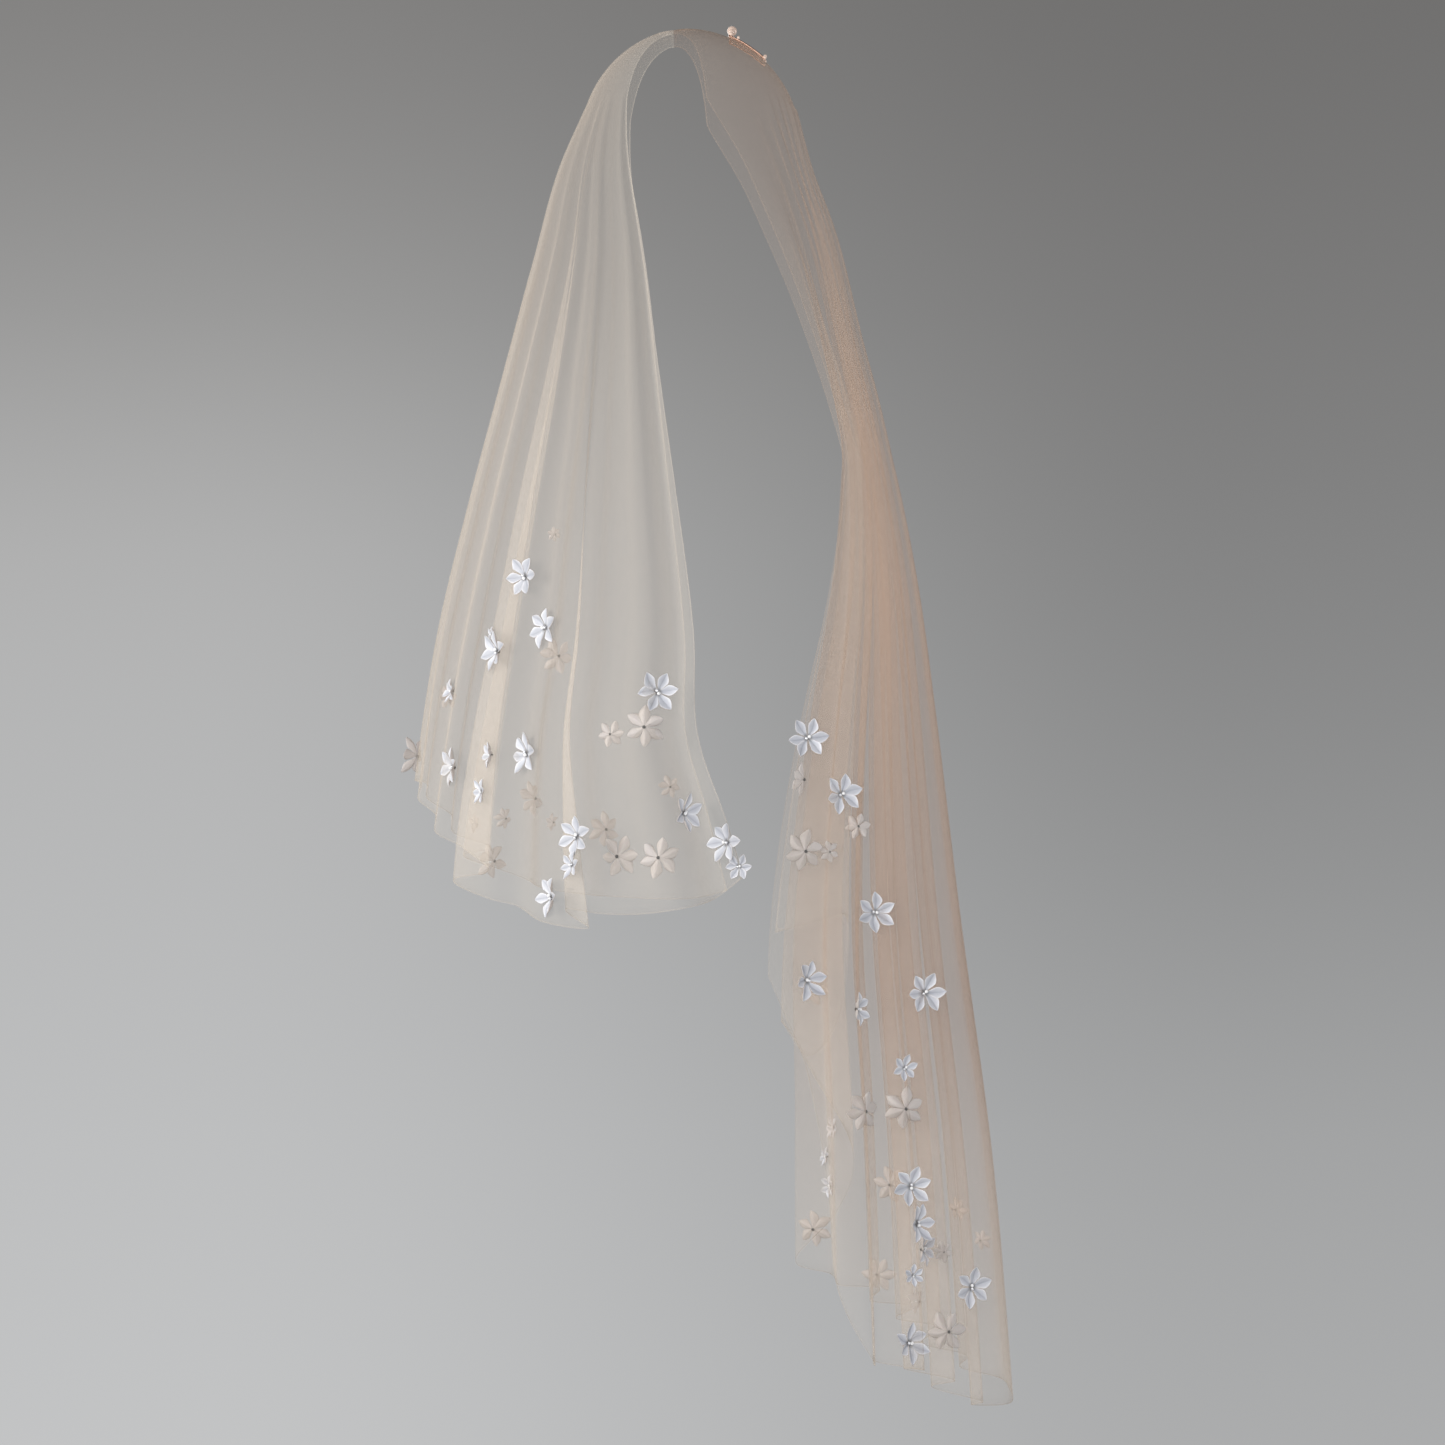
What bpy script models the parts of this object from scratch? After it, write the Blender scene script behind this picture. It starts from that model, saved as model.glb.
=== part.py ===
"""A two-tier bridal veil in soft tulle, as it hangs when it is worn.

The front tier falls over the face to the forearms and the back tier down the back to the knees.
Both are sewn together along a short seam on the crown. A wire comb with pearls lies behind the
seam, and satin flowers are sewn on near the hems.
The wearer faces -Y, +X is the wearer's left, and the origin is on the head's crown, under the cloth.
"""

import math

import bmesh
import bpy
import numpy as np
from mathutils import Matrix, Vector
from mathutils.bvhtree import BVHTree

MM = 0.001

# Sizes in millimetres
WALL = 1.2
SEW_GAP = 0.35
SEAM_HALF_WIDTH = 30.0
SEAM_Y = -25.0

# The head that the veil is laid on: an egg with its middle a little in front of the crown
DOME = {"side": 78.0, "front": 100.0, "back": 105.0, "height": 110.0, "middle_y": -12.0}
LEAVES_HEAD_AT = 75.0
HEAD_SHARE = 0.3
WIDTH_AT_HEAD = math.sqrt(1 - (1 - LEAVES_HEAD_AT / DOME["height"]) ** 2)

# Each tier hangs from the head through rings. A ring's drop is below the crown, its reach is out
# from the middle to the front or the back, and its side is out to the wearer's side, in millimetres.
# half_angle: how far round the tier goes to each side, in degrees.
# swell: how much of its full depth a fold has there.
# settle: how far the folds have moved from their places on the head to their places at the hem.
FRONT_RINGS = (
    # drop, reach, side, half_angle, swell, settle
    (LEAVES_HEAD_AT, DOME["front"] * WIDTH_AT_HEAD, DOME["side"] * WIDTH_AT_HEAD, 55, 0.04, 0.00),
    (121, 114, 82, 62, 0.09, 0.05),
    (209, 136, 101, 73, 0.22, 0.15),
    (320, 161, 148, 81, 0.42, 0.33),
    (428, 186, 190, 87, 0.58, 0.48),
    (559, 213, 221, 92, 0.76, 0.60),
    (650, 225, 236, 93, 0.87, 0.72),
    (720, 232, 246, 99, 0.94, 0.86),
    (830, 238, 256, 107, 1.00, 1.00),
)
BACK_RINGS = (
    # drop, reach, side, half_angle, swell, settle
    (LEAVES_HEAD_AT, DOME["back"] * WIDTH_AT_HEAD, DOME["side"] * WIDTH_AT_HEAD, 80, 0.04, 0.00),
    (131, 113, 84, 64, 0.09, 0.06),
    (178, 128, 93, 57, 0.17, 0.16),
    (289, 152, 130, 43, 0.30, 0.42),
    (344, 164, 158, 39, 0.38, 0.58),
    (385, 172, 174, 37, 0.42, 0.70),
    (432, 181, 190, 42, 0.47, 0.80),
    (524, 195, 212, 52, 0.56, 0.86),
    (615, 204, 230, 61, 0.66, 0.90),
    (815, 223, 254, 73, 0.82, 0.96),
    (1029, 248, 270, 76, 0.93, 1.00),
    (1290, 268, 284, 78, 1.00, 1.00),
)

# The crests and valleys of each tier's folds, from the wearer's left edge round to the right edge.
# seam_place: where a fold starts on the head, 1 at the left edge and -1 at the right.
# hem_place: where it ends at the hem. Where hem_place turns back, the cloth is folded over itself.
# out: how far it stands out of the ring at the hem. hem_drop: where the hem is, below the crown.
FRONT_FOLDS = (
    # seam_place, hem_place, out, hem_drop
    (1.000, 1.000, -6, 768),
    (0.980, 0.935, -24, 786),
    (0.955, 0.860, 12, 793),
    (0.910, 0.770, -4, 799),
    (0.865, 0.680, -12, 800),
    (0.810, 0.590, -14, 797),
    (0.770, 0.666, 8, 811),
    (0.730, 0.560, 3, 807),
    (0.690, 0.480, -6, 795),
    (0.655, 0.420, 6, 789),
    (0.620, 0.305, 10, 775),
    (0.585, 0.375, -10, 766),
    (0.545, 0.250, -10, 748),
    (0.480, 0.190, 9, 735),
    (0.380, 0.135, 4, 720),
    (0.260, 0.090, 19, 706),
    (0.130, 0.045, 14, 694),
    (0.000, 0.000, 24, 690),
    (-0.130, -0.045, 15, 694),
    (-0.260, -0.095, 20, 708),
    (-0.370, -0.150, 3, 724),
    (-0.460, -0.210, 11, 742),
    (-0.530, -0.290, -12, 756),
    (-0.575, -0.245, 9, 764),
    (-0.630, -0.360, 4, 778),
    (-0.690, -0.430, -9, 790),
    (-0.745, -0.510, 9, 800),
    (-0.800, -0.590, -10, 806),
    (-0.850, -0.680, 8, 810),
    (-0.905, -0.780, -9, 812),
    (-0.955, -0.860, 9, 812),
    (-1.000, -0.940, -4, 804),
)
BACK_FOLDS = (
    # seam_place, hem_place, out, hem_drop
    (1.000, 0.960, 4, 815),
    (0.920, 0.820, 9, 806),
    (0.840, 0.690, -2, 808),
    (0.800, 0.700, -12, 884),
    (0.755, 0.810, -17, 922),
    (0.710, 0.900, -24, 892),
    (0.660, 0.800, -34, 930),
    (0.610, 0.735, -33, 1030),
    (0.565, 0.740, -18, 1120),
    (0.520, 0.690, 8, 1180),
    (0.475, 0.620, -16, 1188),
    (0.430, 0.550, 18, 1194),
    (0.385, 0.500, -18, 1200),
    (0.340, 0.430, 18, 1210),
    (0.295, 0.385, -14, 1222),
    (0.245, 0.310, 22, 1236),
    (0.185, 0.240, 4, 1246),
    (0.100, 0.130, 31, 1252),
    (0.000, 0.000, 32, 1250),
    (-0.100, -0.125, 31, 1250),
    (-0.180, -0.220, 4, 1246),
    (-0.240, -0.285, 21, 1240),
    (-0.290, -0.350, -14, 1230),
    (-0.340, -0.390, 18, 1220),
    (-0.385, -0.455, -18, 1212),
    (-0.430, -0.500, 18, 1206),
    (-0.475, -0.565, -18, 1200),
    (-0.525, -0.620, 17, 1194),
    (-0.580, -0.690, -14, 1190),
    (-0.640, -0.760, 8, 1184),
    (-0.710, -0.860, 2, 1172),
    (-0.790, -0.740, 12, 1120),
    (-0.860, -0.700, 20, 1060),
    (-0.930, -0.840, 26, 980),
    (-1.000, -0.960, 22, 890),
)
COLUMNS_A_FOLD = 3
FRONT_ROWS = (3, 7)
BACK_ROWS = (3, 9)

TIERS = {
    # facing, rings, folds, rows on the head and below it
    "front_tier": (-1.0, FRONT_RINGS, FRONT_FOLDS, FRONT_ROWS),
    "back_tier": (1.0, BACK_RINGS, BACK_FOLDS, BACK_ROWS),
}

# Comb: a curved bar across the crown with teeth that run back over the head
COMB = {
    "half_width": 18.0,
    "y": 26.0,
    "bar_thickness": 1.8,
    "tooth_thickness": 1.2,
    "tooth_length": 33.0,
    "teeth": 7,
    "lift": 0.9,
}
PEARLS = (
    # x, diameter
    (-16, 4.0),
    (-8.5, 5.5),
    (0, 9.0),
    (8.5, 5.5),
    (16, 4.0),
)

# Satin flowers, placed from the side: y is back (+) or front (-), drop is below the crown.
# side: 1 on the wearer's left, -1 on the right. spin: turn about its own middle, in degrees.
PETALS = 6
FLOWER_WALL = 1.1
PETAL_OUTLINE = (
    # angle inside one petal in degrees, share of the radius, rise as a share of the radius
    (-30, 0.26, 0.04),
    (-16, 0.70, 0.14),
    (0, 1.00, 0.20),
    (16, 0.70, 0.14),
)
PETAL_CREASE = (0.56, 0.05)
LARGE = 37
SMALL = 24
# How far a flower may be moved, forwards or back, to sit on a fold's crest
CREST_SHIFTS = (0, -4, 4, -8, 8, -12, 12)
FLOWERS = (
    # tier, y, drop, side, diameter, spin
    ("front_tier", -23, 610, 1, LARGE, 4),
    ("front_tier", -54, 640, 1, LARGE, 28),
    ("front_tier", -88, 646, 1, SMALL, 10),
    ("front_tier", -2, 713, 1, LARGE, 20),
    ("front_tier", 20, 738, 1, LARGE, 12),
    ("front_tier", 46, 758, 1, SMALL, 0),
    ("front_tier", -38, 750, 1, LARGE, 18),
    ("front_tier", -82, 750, 1, LARGE, 8),
    ("front_tier", -99, 733, 1, LARGE, 26),
    ("front_tier", -119, 757, 1, SMALL, 14),
    ("front_tier", -137, 785, 1, LARGE, 6),
    ("front_tier", -145, 554, 1, LARGE, 22),
    ("front_tier", -160, 663, 1, LARGE, 10),
    ("front_tier", -188, 574, 1, LARGE, 16),
    ("front_tier", -164, 509, 1, LARGE, 2),
    ("front_tier", -193, 664, 1, SMALL, 24),
    ("front_tier", -201, 696, 1, SMALL, 6),
    ("front_tier", -218, 676, 1, LARGE, 12),
    ("front_tier", -234, 608, 1, SMALL, 20),
    ("front_tier", -283, 664, -1, LARGE, 4),
    ("front_tier", -213, 770, -1, LARGE, 15),
    ("front_tier", -175, 710, -1, LARGE, 22),
    ("front_tier", -152, 571, -1, LARGE, 8),
    ("front_tier", -95, 742, -1, LARGE, 30),
    ("front_tier", -40, 700, -1, SMALL, 12),
    ("back_tier", 93, 649, 1, LARGE, 4),
    ("back_tier", 134, 698, 1, LARGE, 20),
    ("back_tier", 145, 726, 1, SMALL, 8),
    ("back_tier", 91, 746, 1, LARGE, 16),
    ("back_tier", 152, 801, 1, LARGE, 26),
    ("back_tier", 92, 857, 1, LARGE, 12),
    ("back_tier", 201, 873, 1, LARGE, 2),
    ("back_tier", 185, 935, 1, SMALL, 18),
    ("back_tier", 155, 970, 1, LARGE, 10),
    ("back_tier", 190, 970, 1, LARGE, 24),
    ("back_tier", 186, 1036, 1, LARGE, 14),
    ("back_tier", 199, 1068, 1, LARGE, 6),
    ("back_tier", 243, 1135, 1, LARGE, 20),
    ("back_tier", 216, 1167, 1, LARGE, 2),
    ("back_tier", 180, 1170, 1, LARGE, 28),
    ("back_tier", 131, 1037, -1, SMALL, 5),
    ("back_tier", 110, 1140, -1, LARGE, 22),
    ("back_tier", 183, 1086, -1, LARGE, 12),
    ("back_tier", 184, 1180, -1, LARGE, 0),
    ("back_tier", 120, 900, -1, LARGE, 16),
    ("back_tier", 250, 1100, -1, SMALL, 8),
)

MATERIALS = {
    # colour, roughness, metallic
    "tulle": ((0.86, 0.70, 0.60), 0.8, 0.0),
    "satin": ((0.93, 0.92, 0.93), 0.4, 0.0),
    "rose_gold": ((0.72, 0.47, 0.36), 0.3, 1.0),
    "pearl": ((0.90, 0.80, 0.74), 0.2, 0.0),
}


def clear_scene():
    for thing in list(bpy.data.objects):
        bpy.data.objects.remove(thing)


def make_material(name):
    colour, roughness, metallic = MATERIALS[name]
    material = bpy.data.materials.new(name)
    material.use_nodes = True
    shader = material.node_tree.nodes["Principled BSDF"]
    shader.inputs["Base Color"].default_value = (*colour, 1.0)
    shader.inputs["Roughness"].default_value = roughness
    shader.inputs["Metallic"].default_value = metallic
    return material


def smooth_through(x, table_x, table_y):
    """A curve with no corners that passes through every row of a table."""
    slope = np.gradient(table_y, table_x)
    i = np.clip(np.searchsorted(table_x, x) - 1, 0, len(table_x) - 2)
    step = table_x[i + 1] - table_x[i]
    t = np.clip((x - table_x[i]) / step, 0.0, 1.0)
    level = table_y[i] * (2 * t**3 - 3 * t**2 + 1) + table_y[i + 1] * (3 * t**2 - 2 * t**3)
    return level + step * (slope[i] * (t**3 - 2 * t**2 + t) + slope[i + 1] * (t**3 - t**2))


def head_height(x, y):
    """Height of the cloth where it lies on the head, at a place seen from above."""
    length = np.where(y < DOME["middle_y"], DOME["front"], DOME["back"])
    inside = 1 - (x / DOME["side"]) ** 2 - ((y - DOME["middle_y"]) / length) ** 2
    return WALL / 2 - DOME["height"] * (1 - np.sqrt(np.maximum(inside, 0.0)))


def tier_points(name, across, down):
    """The tier's surface in metres, on a grid of places across it and down it, each from 0 to 1."""
    facing, rings, folds, _ = TIERS[name]
    fold_number = np.arange(len(folds), dtype=float)
    across, down = np.meshgrid(across * fold_number[-1], down, indexing="ij")
    seam_place, hem_place, out, hem_drop = (
        smooth_through(across, fold_number, column) for column in np.array(folds, float).T
    )
    ring_drop, *ring_columns = np.array(rings, float).T
    fall = np.clip((down - HEAD_SHARE) / (1 - HEAD_SHARE), 0.0, 1.0)
    drop = LEAVES_HEAD_AT + fall * (hem_drop - LEAVES_HEAD_AT)
    reach, side, half_angle, swell, settle = (
        smooth_through(drop, ring_drop, column) for column in ring_columns
    )
    angle = np.radians(half_angle) * (seam_place + (hem_place - seam_place) * settle)
    ring_x = (side + out * swell) * np.sin(angle)
    ring_y = DOME["middle_y"] + facing * (reach + out * swell) * np.cos(angle)
    # On the head, each line of the cloth runs from the seam to the ring where it leaves the head.
    climb = np.clip(down / HEAD_SHARE, 0.0, 1.0)
    spread = np.sin(climb * math.asin(WIDTH_AT_HEAD)) / WIDTH_AT_HEAD
    seam_x = SEAM_HALF_WIDTH * seam_place
    seam_y = SEAM_Y + facing * SEW_GAP / 2
    x = seam_x + (ring_x - seam_x) * spread**2
    y = seam_y + (ring_y - seam_y) * spread
    z = np.where(down < HEAD_SHARE, head_height(x, y), WALL / 2 - drop)
    return np.stack((x, y, z), axis=-1) * MM


def link(data, name, collection, material):
    thing = bpy.data.objects.new(name, data)
    collection.objects.link(thing)
    thing.data.materials.append(material)
    return thing


def make_tier(name, collection, material):
    """One tier: a grid bent into the folded surface and given its wall."""
    _, _, folds, (head_rows, hanging_rows) = TIERS[name]
    across = np.linspace(0.0, 1.0, (len(folds) - 1) * COLUMNS_A_FOLD + 1)
    on_head = np.linspace(0.0, HEAD_SHARE, head_rows + 1)
    hanging = np.linspace(HEAD_SHARE, 1.0, hanging_rows + 1)
    down = np.concatenate((on_head, hanging[1:]))
    points = tier_points(name, across, down)
    grid = bmesh.new()
    columns, rows = len(across) - 1, len(down) - 1
    bmesh.ops.create_grid(grid, x_segments=columns, y_segments=rows, size=1.0)
    for vertex in grid.verts:
        i = round((vertex.co.x + 1) / 2 * columns)
        j = round((vertex.co.y + 1) / 2 * rows)
        vertex.co = Vector(points[i, j])
    mesh = bpy.data.meshes.new(name)
    grid.to_mesh(mesh)
    grid.free()
    mesh.shade_smooth()
    thing = link(mesh, name, collection, material)
    wall = thing.modifiers.new("wall", "SOLIDIFY")
    wall.thickness = WALL * MM
    wall.offset = 0.0
    return thing


def finished_surface(thing):
    """The finished surface of an object, for laying other pieces on it."""
    bpy.context.view_layer.update()
    graph = bpy.context.evaluated_depsgraph_get()
    shape = bmesh.new()
    shape.from_object(thing, graph)
    shape.transform(thing.matrix_world)
    tree = BVHTree.FromBMesh(shape)
    shape.free()
    return tree


def make_flower_mesh(name, diameter):
    """A round disc of satin pulled out into six petals, each with a crease and a raised tip."""
    radius = diameter / 2 * MM
    outline = [(p * 360 / PETALS + a, r, h) for p in range(PETALS) for a, r, h in PETAL_OUTLINE]
    first = outline[0][0]
    step = 360 / len(outline)
    disc = bmesh.new()
    bmesh.ops.create_circle(disc, cap_ends=True, cap_tris=True, segments=len(outline), radius=1.0)
    spokes = {}
    for vertex in disc.verts:
        if vertex.co.length > 0.5:
            turned = math.degrees(math.atan2(vertex.co.y, vertex.co.x))
            spokes[round(turned / step) % len(outline)] = vertex
        else:
            middle = vertex
    creases = []
    for number, vertex in spokes.items():
        angle, share, rise = outline[number]
        if share == 1.0:
            creases.append(next(e for e in vertex.link_edges if middle in e.verts))
        reach = radius * share
        turned = math.radians(angle)
        vertex.co = (reach * math.cos(turned), reach * math.sin(turned), radius * rise)
    made = bmesh.ops.subdivide_edges(disc, edges=creases, cuts=1)["geom_inner"]
    share, rise = PETAL_CREASE
    for vertex in (v for v in made if isinstance(v, bmesh.types.BMVert)):
        vertex.co = vertex.co.xy.normalized().to_3d() * radius * share
        vertex.co.z = radius * rise
    bmesh.ops.triangulate(disc, faces=disc.faces)
    if sum(face.normal.z for face in disc.faces) < 0:
        bmesh.ops.reverse_faces(disc, faces=disc.faces)
    mesh = bpy.data.meshes.new(name)
    disc.to_mesh(mesh)
    disc.free()
    return mesh


def points_on(mesh, steps=4):
    """Points spread over every triangle of a mesh."""
    for polygon in mesh.polygons:
        a, b, c = (mesh.vertices[i].co for i in polygon.vertices)
        for i in range(steps + 1):
            for j in range(steps + 1 - i):
                yield a + (b - a) * i / steps + (c - a) * j / steps


def seat_of(cloth, y, drop, side):
    """The place on a fold's crest beside a point seen from the side, and the way it faces."""
    seats = []
    for shift in CREST_SHIFTS:
        start = Vector((side * 0.6, (y + shift) * MM, -drop * MM))
        seat, normal, _, _ = cloth.ray_cast(start, Vector((-side, 0, 0)), 0.6)
        if seat is not None:
            seats.append((abs(seat.x) - abs(shift) * MM / 2, seat, normal))
    if not seats:
        seat, normal, _, _ = cloth.find_nearest(Vector((0, y * MM, -drop * MM)))
        seats.append((0.0, seat, normal))
    _, seat, normal = max(seats, key=lambda found: found[0])
    outwards = Vector((seat.x, seat.y - DOME["middle_y"] * MM, 0.0)).normalized()
    return seat, ((normal if normal.dot(outwards) > 0 else -normal) + outwards).normalized()


def clear_lift(mesh, place, face, cloths, reach=0.06):
    """How far along its face a flower stands off its place to clear all that is under it."""
    lift = 0.0
    for point in points_on(mesh):
        spot = place @ point
        for cloth in cloths:
            hit = cloth.ray_cast(spot + face * reach, -face, reach)[0]
            if hit is not None:
                lift = max(lift, (hit - spot).dot(face))
    return lift


def make_flowers(tiers, collection, material):
    """Lays each flower on its tier, over any flower that is already there."""
    cloths = list(tiers.values())
    for number, (tier, y, drop, side, diameter, spin) in enumerate(FLOWERS, 1):
        name = f"flower_{number:02d}"
        seat, face = seat_of(tiers[tier], y, drop, side)
        turn = face.to_track_quat("Z", "Y") @ Matrix.Rotation(math.radians(spin), 3, "Z").to_quaternion()
        flower = link(make_flower_mesh(name, diameter), name, collection, material)
        place = Matrix.Translation(seat) @ turn.to_matrix().to_4x4()
        lift = clear_lift(flower.data, place, face, cloths)
        flower.rotation_mode = "QUATERNION"
        flower.rotation_quaternion = turn
        flower.location = seat + face * (lift + SEW_GAP * MM)
        wall = flower.modifiers.new("wall", "SOLIDIFY")
        wall.thickness = FLOWER_WALL * MM
        wall.offset = 1.0
        cloths.append(finished_surface(flower))


def tube(name, points, thickness, collection, material, resolution=2):
    """A round wire through the given points, with closed ends, as a mesh."""
    curve = bpy.data.curves.new(name, "CURVE")
    curve.dimensions = "3D"
    curve.bevel_depth = thickness / 2 * MM
    curve.bevel_resolution = resolution
    curve.use_fill_caps = True
    spline = curve.splines.new("POLY")
    spline.points.add(len(points) - 1)
    for point, place in zip(spline.points, points):
        point.co = (*(Vector(place) * MM), 1.0)
    wire = bpy.data.objects.new(name, curve)
    collection.objects.link(wire)
    bpy.context.view_layer.update()
    mesh = bpy.data.meshes.new_from_object(wire.evaluated_get(bpy.context.evaluated_depsgraph_get()))
    bpy.data.objects.remove(wire)
    bpy.data.curves.remove(curve)
    clean = bmesh.new()
    clean.from_mesh(mesh)
    bmesh.ops.remove_doubles(clean, verts=clean.verts, dist=0.00001)
    clean.to_mesh(mesh)
    clean.free()
    mesh.materials.clear()
    return link(mesh, name, collection, material)


def above_cloth(cloth, x, y, height):
    """The point in millimetres that stands a height out from the cloth on the back of the head."""
    above = Vector((x, y, DOME["height"])) * MM
    seat = cloth.ray_cast(above, Vector((0, 0, -1)))[0] / MM
    outwards = Vector((
        seat.x / DOME["side"] ** 2,
        (seat.y - DOME["middle_y"]) / DOME["back"] ** 2,
        (seat.z + DOME["height"]) / DOME["height"] ** 2,
    ))
    return seat + outwards.normalized() * height


def make_comb(cloth, parts, cutters, material):
    """The comb's bar and its teeth, joined into one wire body."""
    height = COMB["lift"] + COMB["bar_thickness"] / 2
    xs = np.linspace(-COMB["half_width"], COMB["half_width"], 15)
    bar_points = [above_cloth(cloth, x, COMB["y"], height) for x in xs]
    comb = tube("comb", bar_points, COMB["bar_thickness"], parts, material)
    inset = COMB["half_width"] - COMB["tooth_thickness"]
    for number, x in enumerate(np.linspace(-inset, inset, COMB["teeth"]), 1):
        ys = np.linspace(COMB["y"], COMB["y"] + COMB["tooth_length"], 6)
        path = [above_cloth(cloth, x, y, height) for y in ys]
        tooth = tube(f"comb_tooth_{number:02d}", path, COMB["tooth_thickness"], cutters, material, 1)
        tooth.hide_render = True
        tooth.display_type = "WIRE"
        join = comb.modifiers.new(tooth.name, "BOOLEAN")
        join.operation = "UNION"
        join.object = tooth


def make_pearls(cloth, collection, material):
    for number, (x, diameter) in enumerate(PEARLS, 1):
        height = COMB["lift"] + COMB["bar_thickness"] + SEW_GAP + diameter / 2
        bpy.ops.mesh.primitive_uv_sphere_add(
            segments=12,
            ring_count=8,
            radius=diameter / 2 * MM,
            location=above_cloth(cloth, x, COMB["y"], height) * MM,
        )
        pearl = bpy.context.object
        pearl.name = f"comb_pearl_{number}"
        pearl.data.shade_smooth()
        pearl.data.materials.append(material)
        for owner in list(pearl.users_collection):
            owner.objects.unlink(pearl)
        collection.objects.link(pearl)


def main():
    clear_scene()
    veil = bpy.data.collections.new("bridal_veil")
    cutters = bpy.data.collections.new("comb_teeth")
    bpy.context.scene.collection.children.link(veil)
    bpy.context.scene.collection.children.link(cutters)
    paint = {name: make_material(name) for name in MATERIALS}
    tiers = {name: finished_surface(make_tier(name, veil, paint["tulle"])) for name in TIERS}
    make_comb(tiers["back_tier"], veil, cutters, paint["rose_gold"])
    make_pearls(tiers["back_tier"], veil, paint["pearl"])
    make_flowers(tiers, veil, paint["satin"])


main()
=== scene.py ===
import math

import bmesh
import bpy
import numpy as np
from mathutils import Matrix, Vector
from mathutils.bvhtree import BVHTree


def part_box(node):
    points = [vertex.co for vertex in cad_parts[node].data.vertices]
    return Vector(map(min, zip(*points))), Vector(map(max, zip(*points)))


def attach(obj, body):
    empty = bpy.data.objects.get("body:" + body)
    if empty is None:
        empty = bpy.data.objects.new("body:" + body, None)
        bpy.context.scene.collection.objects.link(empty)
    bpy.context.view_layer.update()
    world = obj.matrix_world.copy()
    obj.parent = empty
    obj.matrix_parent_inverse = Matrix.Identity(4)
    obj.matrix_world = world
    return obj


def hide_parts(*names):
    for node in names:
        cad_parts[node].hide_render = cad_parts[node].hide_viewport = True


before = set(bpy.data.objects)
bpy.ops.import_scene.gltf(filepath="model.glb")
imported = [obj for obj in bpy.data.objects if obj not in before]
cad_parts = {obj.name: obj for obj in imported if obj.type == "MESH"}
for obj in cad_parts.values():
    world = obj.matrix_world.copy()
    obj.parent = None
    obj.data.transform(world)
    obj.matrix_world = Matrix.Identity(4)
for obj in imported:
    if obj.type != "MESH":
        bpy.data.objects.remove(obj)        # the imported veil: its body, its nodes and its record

# A bridal veil in two tiers of soft tulle, with satin flowers and a wire comb.
# Sizes are in millimetres unless a note says metres. The veil's front is at -Y and its left at +X.

mm = 0.001
scene = bpy.context.scene
rng = np.random.default_rng(7)
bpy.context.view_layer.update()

# Studio: where the camera stands, the grey behind the veil, the floor and the lights

studio = {
    "imageSize": 1445,                    # pixels each way in the photograph
    "millimetresPerPixel": 0.92,          # in the veil's middle plane
    "cameraDistance": 3100,
    "aim": (0, 20, -636),
    "sensor": 36,
    "floorHeight": -1750,
    "floorRadius": 1600,
    "floorColour": (0.62, 0.62, 0.61),
    "floorMottle": 0.93,                  # how dark its darker patches are
    # grey of the wall from low to high:
    # slope of the sight line, grey on the veil's front side, grey behind it, warmth
    "wall": (
        (-0.25, 0.570, 0.440, -0.010),
        (-0.12, 0.515, 0.370, -0.010),
        (-0.04, 0.480, 0.290, -0.008),
        (0.05, 0.450, 0.225, 0.000),
        (0.12, 0.320, 0.200, 0.008),
        (0.21, 0.205, 0.155, 0.020),
    ),
    "wallTurnsAt": (-0.16, 0.16),         # sideways slopes between which the grey changes sides
    # lights: place in metres, width in metres, watts, colour
    "lights": {
        "windowLight": ((1.0, -2.3, 0.0), 1.6, 46, (1.0, 0.99, 0.97)),
        "roomLight": ((2.8, -0.3, -0.25), 1.8, 46, (0.95, 0.965, 1.0)),
        "hemFill": ((2.2, 2.2, -0.9), 1.6, 9, (0.96, 0.97, 1.0)),
        "backFill": ((-0.6, 2.9, -0.3), 2.4, 26, (0.98, 0.98, 1.0)),
        "farFill": ((-2.6, -0.6, 0.0), 2.2, 18, (1.0, 0.99, 0.97)),
    },
}


def newMaterial(name):
    material = bpy.data.materials.new(name)
    material.use_nodes = True
    tree = material.node_tree
    return material, tree, tree.nodes["Principled BSDF"]


def setSocket(tree, socket, value):
    # links a socket, or sets a plain value
    if isinstance(value, bpy.types.NodeSocket):
        tree.links.new(value, socket)
    else:
        socket.default_value = value


def calc(tree, operation, first, second=0.0, third=0.0):
    node = tree.nodes.new("ShaderNodeMath")
    node.operation = operation
    for socket, value in zip(node.inputs, (first, second, third)):
        setSocket(tree, socket, value)
    return node.outputs[0]


def mixColour(tree, share, first, second):
    node = tree.nodes.new("ShaderNodeMix")
    node.data_type = "RGBA"
    setSocket(tree, node.inputs["Factor"], share)
    colourSockets = [s for s in node.inputs if s.type == "RGBA"]
    for socket, value in zip(colourSockets, (first, second)):
        setSocket(tree, socket, value if isinstance(value, bpy.types.NodeSocket) else (*value, 1.0))
    return next(s for s in node.outputs if s.type == "RGBA")


def noiseOf(tree, coordinates, scale, detail=2.0):
    node = tree.nodes.new("ShaderNodeTexNoise")
    setSocket(tree, node.inputs["Vector"], coordinates)
    node.inputs["Scale"].default_value = scale
    node.inputs["Detail"].default_value = detail
    return node.outputs["Fac"]


def rampOf(tree, value, stops):
    node = tree.nodes.new("ShaderNodeValToRGB")
    setSocket(tree, node.inputs["Fac"], value)
    node.color_ramp.interpolation = "B_SPLINE"
    while len(node.color_ramp.elements) < len(stops):
        node.color_ramp.elements.new(0.5)
    for element, (place, colour) in zip(node.color_ramp.elements, stops):
        element.position = place
        element.color = (*colour, 1.0)
    return node.outputs["Color"]


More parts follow.
